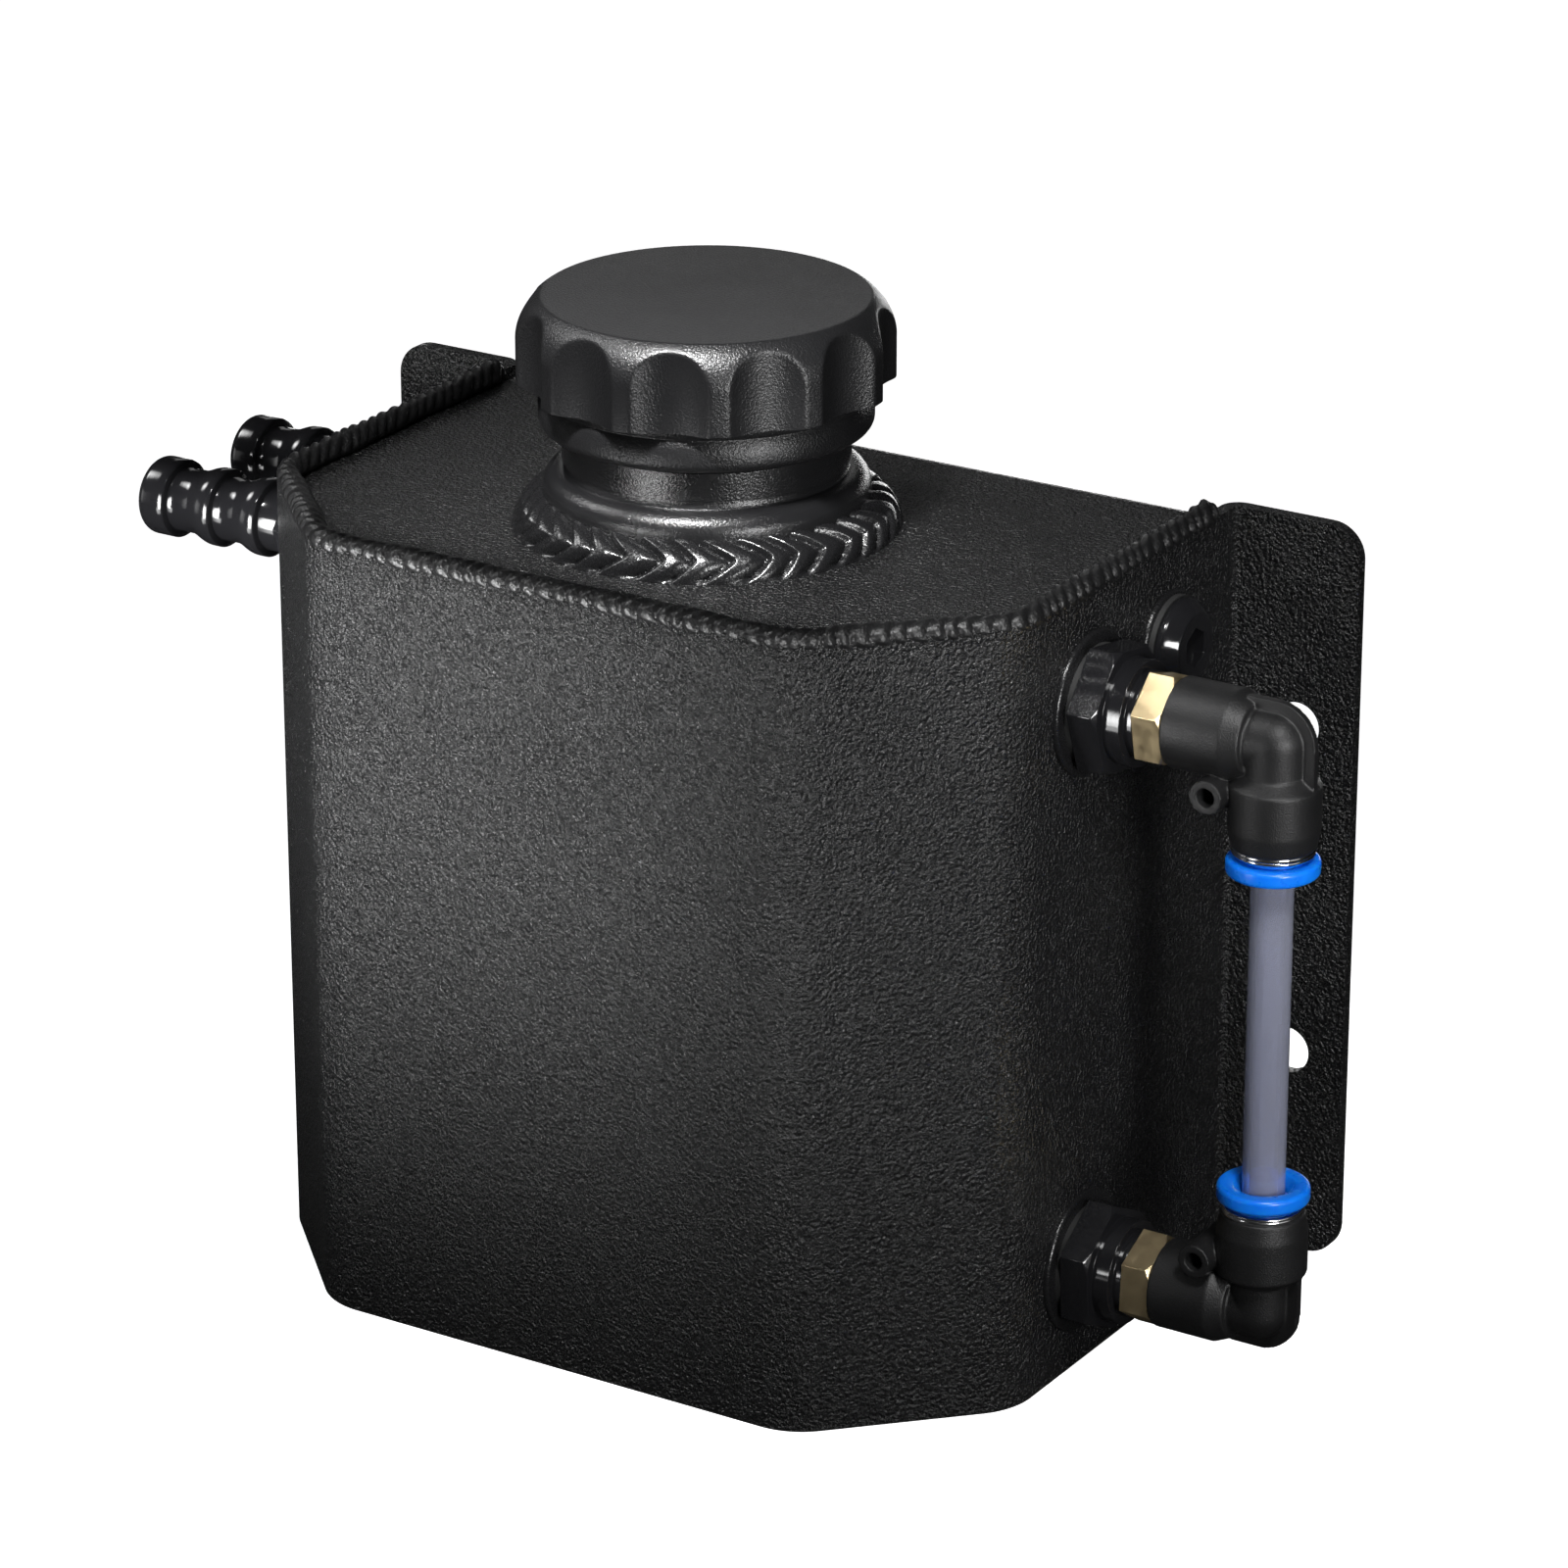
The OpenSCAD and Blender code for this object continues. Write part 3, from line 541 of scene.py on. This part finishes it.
def fluted_cap():
    """The turned cap with its rolled shoulder and twelve finger flutes."""
    outline = [(27.8, 0.0), (27.8, 20.6), (15.0, 20.6), (14.3, 21.1), (14.3, 22.0)]
    outline += curve((15.8, 22.0), 1.5, -90, 0, 6)[1:]
    outline += [(16.4, 23.5), (19.0, 23.5), (19.15, 23.35), (19.4, 23.35), (19.55, 23.5),
                (20.2, 23.5), (20.5, 23.6), (20.5, 24.1), (20.5, 24.5), (20.5, 25.2), (20.5, 26.1)]
    outline += curve((20.8, 26.2), 0.3, -90, 0, 3)[1:]
    outline += [(21.2, 26.5), (23.0, 26.5), (25.0, 26.5), (26.4, 26.5)]
    outline += curve((26.94, 19.5), 7.0, 0, 59, 40)
    outline += [(32.99, 22.9), (33.0, 22.75), (33.0, 22.4), (33.0, 18.0), (33.0, 9.0), (33.0, 0.0)]
    bm = turned(outline, steps=600, closed=False)
    for v in bm.verts:
        height, radius = v.co.z / MM, v.co.xy.length / MM
        if height < 20.3 or radius < 22.6:
            continue
        angle = math.degrees(math.atan2(v.co.y, v.co.x)) - FLUTE_START
        off = math.radians((angle + FLUTE_STEP / 2) % FLUTE_STEP - FLUTE_STEP / 2)
        beside = FLUTE_CENTRE_R * math.sin(off)
        if abs(beside) >= FLUTE_CUTTER_R:
            continue
        wall = FLUTE_CENTRE_R * math.cos(off) - math.sqrt(FLUTE_CUTTER_R ** 2 - beside ** 2)
        gap = radius - wall
        blend = 0.14
        cut = blend * math.log1p(math.exp(min(gap / blend, 60.0)))
        v.co.xy *= (radius - cut) / radius
    return placed(bm, at(0, MID_Y, PANEL_Z))


piece("filler_neck_anodised", neck(), turned_black, "black_anodised", "tank", "filler_neck",
      even=False)
piece("neck_foot_bead", neck_bead(), weld_coat, "weld_coat", "tank", "neck_weld", even=False)
piece("fluted_filler_cap", fluted_cap(), blasted_black, "black_anodised", "cap", "filler_cap",
      even=False)
gasket_ring = turned([(25.85, 16.8), (26.1, 16.6), (27.5, 16.6), (27.75, 16.8), (27.75, 19.7),
                      (27.5, 19.9), (26.1, 19.9), (25.85, 19.7)])
piece("cap_gasket_ring", placed(gasket_ring, at(0, MID_Y, PANEL_Z)), rubber, "seal_rubber",
      "cap_seal", "cap_gasket")


# --------------------------------------------------------------- threaded ports

def bung_ring(ring_r, body_r, thread_r):
    """A welded-in bung: its low rounded ring outside and its body inside the wall."""
    outline = [(-7.0, thread_r), (-7.0, body_r), (-0.2, body_r), (-0.2, ring_r), (0.0, ring_r)]
    outline += curve((0.25, ring_r - 0.55), 0.55, 0, 90, 6)
    outline += [(0.8, ring_r - 1.2), (0.8, thread_r + 0.4), (0.4, thread_r)]
    return turned(outline)


PORTS = {
    "upper_gauge_bung": (1, MID_Y, UPPER_PORT_Z, 10.5, 8.5, 5.5),
    "lower_gauge_bung": (1, MID_Y, LOWER_PORT_Z, 10.5, 8.5, 5.5),
    "spare_port_bung": (1, -21.5, 41.7, 7.7, 6.5, 4.8),
    "front_hose_bung": (-1, HOSE_YS["front"], HOSE_Z, 8.5, 6.5, 4.8),
    "rear_hose_bung": (-1, HOSE_YS["rear"], HOSE_Z, 8.5, 6.5, 4.8),
}
for node, (side, y, z, ring_r, body_r, thread_r) in PORTS.items():
    bung = placed(bung_ring(ring_r, body_r, thread_r), out_of_wall(side, y, z))
    piece(node + "_coated", bung, weld_coat, "tank_coat", "tank", node)

for level in ("upper", "lower"):
    adapter = soften(copied(level + "_gauge_adapter"), 0.22, sharper_than=25.0)
    piece(level + "_adapter_anodised", adapter, gloss_black, "gloss_anodised", "tank",
          level + "_gauge_adapter")
    stem = soften(copied(level + "_elbow_stem"), 0.14, sharper_than=25.0)
    piece(level + "_stem_milled", stem, brushed_brass, "brass", "tank", level + "_elbow_stem")
plug = soften(copied("spare_port_plug"), 0.25, sharper_than=25.0)
piece("spare_plug_anodised", plug, gloss_black, "gloss_anodised", "tank", "spare_port_plug")


def hose_tail():
    """A barbed tail: three crests with square backs, and a rounded tip."""
    root, crest, bore = 4.7, 5.8, 3.5
    outline = [(30.0, bore + 0.25), (30.0, crest - 1.6)]
    outline += curve((28.4, crest - 1.6), 1.6, 90, 0, 8)[1:]
    outline += [(26.6, crest), (25.25, crest), (25.0, crest - 0.2), (25.0, root + 0.2),
                (24.8, root), (23.4, root)]
    for step in (16.8, 8.6):
        for k in range(9):
            rise = 0.5 - 0.5 * math.cos(math.pi * k / 8)
            outline.append((step + 5.4 - 4.0 * k / 8, root + (crest - root) * rise))
        outline += [(step + 0.22, crest), (step, crest - 0.2), (step, root + 0.2),
                    (step - 0.2, root)]
        if step > 9:
            outline.append((step - 2.4, root))
    outline += [(3.4, root), (3.4, bore), (29.8, bore)]
    return turned(outline)


for name, y in HOSE_YS.items():
    tail = placed(hose_tail(), out_of_wall(-1, y, HOSE_Z))
    piece(name + "_hose_barbs", tail, gloss_black, "gloss_anodised", "tank",
          name + "_hose_tail", even=False)
    base = bmesh.new()
    bmesh.ops.create_cone(
        base, segments=6, radius1=HOSE_HEXAGON_R * MM, radius2=HOSE_HEXAGON_R * MM,
        depth=2.0 * MM, cap_ends=True)
    placed(base, out_of_wall(-1, y, HOSE_Z) @ at(0, 0, 2.6) @ Matrix.Rotation(
        math.radians(10), 4, "Z"))
    piece(name + "_hose_hexagon", soften(base, 0.3), gloss_black, "gloss_anodised", "tank",
          name + "_hose_tail")


# ---------------------------------------------------------------- sight gauge

def moulded(name, node, voxel, passes):
    """A CAD copy remade as one even skin, with its corners eased as a mould leaves them."""
    bm = copied(node)
    mesh = bpy.data.meshes.new(name)
    bm.to_mesh(mesh)
    bm.free()
    obj = bpy.data.objects.new(name, mesh)
    bpy.context.scene.collection.objects.link(obj)
    skin = obj.modifiers.new("skin", "REMESH")
    skin.mode = "VOXEL"
    skin.voxel_size = voxel * MM
    ease = obj.modifiers.new("ease", "SMOOTH")
    ease.factor = 0.5
    ease.iterations = passes
    shape = obj.evaluated_get(bpy.context.evaluated_depsgraph_get())
    made = bmesh.new()
    made.from_mesh(shape.to_mesh())
    shape.to_mesh_clear()
    bpy.data.objects.remove(obj)
    bpy.data.meshes.remove(mesh)
    return made


def release_collar():
    """The push-in collar: a sleeve, a rounded flange and a dished mouth for the tube."""
    outline = [(11.3, 3.08), (11.3, 4.4), (11.4, 4.5), (16.6, 4.5), (16.6, 5.9)]
    outline += curve((17.15, 5.95), 0.55, -90, 0, 6)[1:]
    outline += curve((18.25, 5.85), 0.65, 0, 90, 7)
    outline += [(18.9, 5.3), (18.9, 4.5), (18.7, 4.2), (17.9, 3.5), (17.6, 3.08)]
    return turned(outline, steps=120)


def retaining_ring():
    outline = [(11.6, 4.8), (11.6, 5.2), (14.8, 5.2), (14.8, 5.65), (14.95, 5.75),
               (15.3, 5.75), (15.4, 5.68), (15.5, 5.75), (15.75, 5.75), (15.9, 5.6),
               (15.9, 4.95), (15.75, 4.8)]
    return turned(outline, steps=120)


for level, upper in (("upper", True), ("lower", False)):
    elbow = moulded(level + "_elbow_skin", level + "_elbow", 0.2, 4)
    piece(level + "_elbow_moulded", elbow, grained_plastic, "elbow_plastic", "tank",
          level + "_elbow", even=False)
    piece(level + "_collar_moulded", placed(release_collar(), along_tube(upper)), blue_plastic,
          "collar_plastic", level + "_collar", level + "_release_collar", even=False)
    piece(level + "_ring_turned", placed(retaining_ring(), along_tube(upper)), bright_steel,
          "stainless_steel", "tank", level + "_retaining_ring")

tube_low, tube_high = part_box("sight_tube")
tube_run = (tube_high.z - tube_low.z) / MM
tube = turned([(0.0, 2.0), (0.0, 2.9), (0.1, 3.0)]
              + [(tube_run * i / 24, 3.0) for i in range(1, 24)]
              + [(tube_run - 0.1, 3.0), (tube_run, 2.9), (tube_run, 2.0)])
placed(tube, at(WALL_X + GAUGE_OUT, MID_Y, tube_low.z / MM))
piece("sight_tube_clear", tube, clear_tube, "tube_plastic", "tank", "sight_tube", even=False)

SEALS = [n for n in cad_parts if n.endswith(("_washer", "_seal"))]
for node in SEALS:
    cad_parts[node].data.materials.clear()
    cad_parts[node].data.materials.append(rubber)
for level in ("upper", "lower"):
    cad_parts[level + "_grip_ring"].data.materials.clear()
    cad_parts[level + "_grip_ring"].data.materials.append(bright_steel)


# ------------------------------------------------------------------- the studio

def camera_only(tree, seen, unseen, end, socket):
    """Joins two shaders so that the first shows to the camera and the other to the rest."""
    rays = tree.nodes.new("ShaderNodeLightPath")
    mix = tree.nodes.new("ShaderNodeMixShader")
    tree.links.new(rays.outputs["Is Camera Ray"], mix.inputs[0])
    tree.links.new(unseen, mix.inputs[1])
    tree.links.new(seen, mix.inputs[2])
    tree.links.new(mix.outputs[0], end.inputs[socket])


def stage_plane(name, matrix, material):
    """A flat sheet of the studio, two metres square before the matrix places it."""
    bm = bmesh.new()
    bmesh.ops.create_grid(bm, x_segments=1, y_segments=1, size=1.0)
    placed(bm, matrix)
    mesh = bpy.data.meshes.new(name)
    bm.to_mesh(mesh)
    bm.free()
    mesh.materials.append(material)
    plane = bpy.data.objects.new(name, mesh)
    bpy.context.scene.collection.objects.link(plane)
    return plane


floor_paint = bpy.data.materials.new("white_sweep")
floor_paint.use_nodes = True
tree = floor_paint.node_tree
tree.nodes.clear()
out = tree.nodes.new("ShaderNodeOutputMaterial")
glow = node_in(tree, "ShaderNodeEmission", Color=(1, 1, 1, 1), Strength=1.02)
paint = node_in(tree, "ShaderNodeBsdfDiffuse", Color=(0.85, 0.85, 0.85, 1))
lit = tree.nodes.new("ShaderNodeAddShader")
tree.links.new(glow.outputs[0], lit.inputs[0])
tree.links.new(paint.outputs[0], lit.inputs[1])
dim = node_in(tree, "ShaderNodeBsdfDiffuse", Color=(0.05, 0.05, 0.05, 1))
camera_only(tree, lit.outputs[0], dim.outputs[0], out, "Surface")
stage_plane("studio_floor", Matrix.Translation((0, 0, cad_low.z))
            @ Matrix.Diagonal((6.0, 6.0, 1.0, 1.0)), floor_paint)

world = bpy.data.worlds.new("white_studio")
world.use_nodes = True
bpy.context.scene.world = world
tree = world.node_tree
tree.nodes.clear()
out = tree.nodes.new("ShaderNodeOutputWorld")
white = node_in(tree, "ShaderNodeBackground", Color=(1, 1, 1, 1), Strength=1.05)
room = node_in(tree, "ShaderNodeBackground", Color=(0.95, 0.98, 1, 1), Strength=0.012)
camera_only(tree, white.outputs[0], room.outputs[0], out, "Surface")


def softbox(name, position, target, width, height, power, spread=180.0):
    """A soft area light that faces a point; places in metres, power in watts."""
    data = bpy.data.lights.new(name, "AREA")
    data.shape = "RECTANGLE"
    data.size, data.size_y = width, height
    data.energy = power
    data.spread = math.radians(spread)
    light = bpy.data.objects.new(name, data)
    light.location = position
    light.rotation_mode = "QUATERNION"
    facing = Vector(target) - Vector(position)
    light.rotation_quaternion = facing.to_track_quat("-Z", "Y")
    light.visible_camera = False
    bpy.context.scene.collection.objects.link(light)


softbox("front_box", (-0.060, -0.232, 0.044), (-0.038, -0.084, 0.052), 0.12, 0.12, 0.205, 48.0)
softbox("low_front_box", (-0.075, -0.22, -0.03), (-0.035, -0.084, 0.025), 0.14, 0.05, 0.016, 50.0)
softbox("chamfer_box", (0.404, -0.249, 0.080), (0.050, -0.073, 0.046), 0.10, 0.12, 0.118, 52.0)
softbox("side_box", (0.6, -0.1, 0.05), (0.08, -0.04, 0.0), 0.3, 0.3, 0.022, 60.0)
softbox("rim_box", (-0.45, 0.75, 0.40), (0.0, -0.043, 0.07), 0.4, 0.3, 0.25)
softbox("back_box", (-0.25, 0.70, 0.01), (0.0, 0.0, 0.0), 0.6, 0.08, 0.12, 60.0)
softbox("cap_strip", (0.02, -0.20, 0.30), (0.005, -0.068, 0.083), 0.10, 0.03, 0.060, 20.0)
softbox("gauge_box", (0.26, -0.22, 0.38), (0.088, -0.043, -0.015), 0.08, 0.08, 0.042, 30.0)
softbox("left_box", (-0.35, -0.25, 0.05), (-0.06, -0.06, 0.02), 0.15, 0.15, 0.010, 50.0)
softbox("weld_box", (-0.35, -0.15, 0.40), (0.0, -0.06, 0.058), 0.3, 0.3, 0.10, 24.0)

# A dark flag keeps the front light off the cap's flutes.
flag = stage_plane(
    "dark_flag", at(-10.0, -100.0, 80.0) @ Matrix.Rotation(math.pi / 2, 4, "X")
    @ Matrix.Diagonal((75.0 * MM, 23.0 * MM, 1.0, 1.0)), rubber)
flag.visible_camera = False

camera_data = bpy.data.cameras.new("product_camera")
camera_data.sensor_width = 36.0
camera_data.lens = 149.70
camera_data.clip_start, camera_data.clip_end = 0.01, 50.0
camera = bpy.data.objects.new("product_camera", camera_data)
camera.location = (0.467115, -0.769432, 0.356260)
camera.rotation_mode = "QUATERNION"
az, el = math.radians(32.026), math.radians(21.579)
back = Vector((math.sin(az) * math.cos(el), -math.cos(az) * math.cos(el), math.sin(el)))
camera.rotation_quaternion = (-back).to_track_quat("-Z", "Y")
bpy.context.scene.collection.objects.link(camera)
bpy.context.scene.camera = camera
bpy.context.scene.view_settings.view_transform = "Standard"
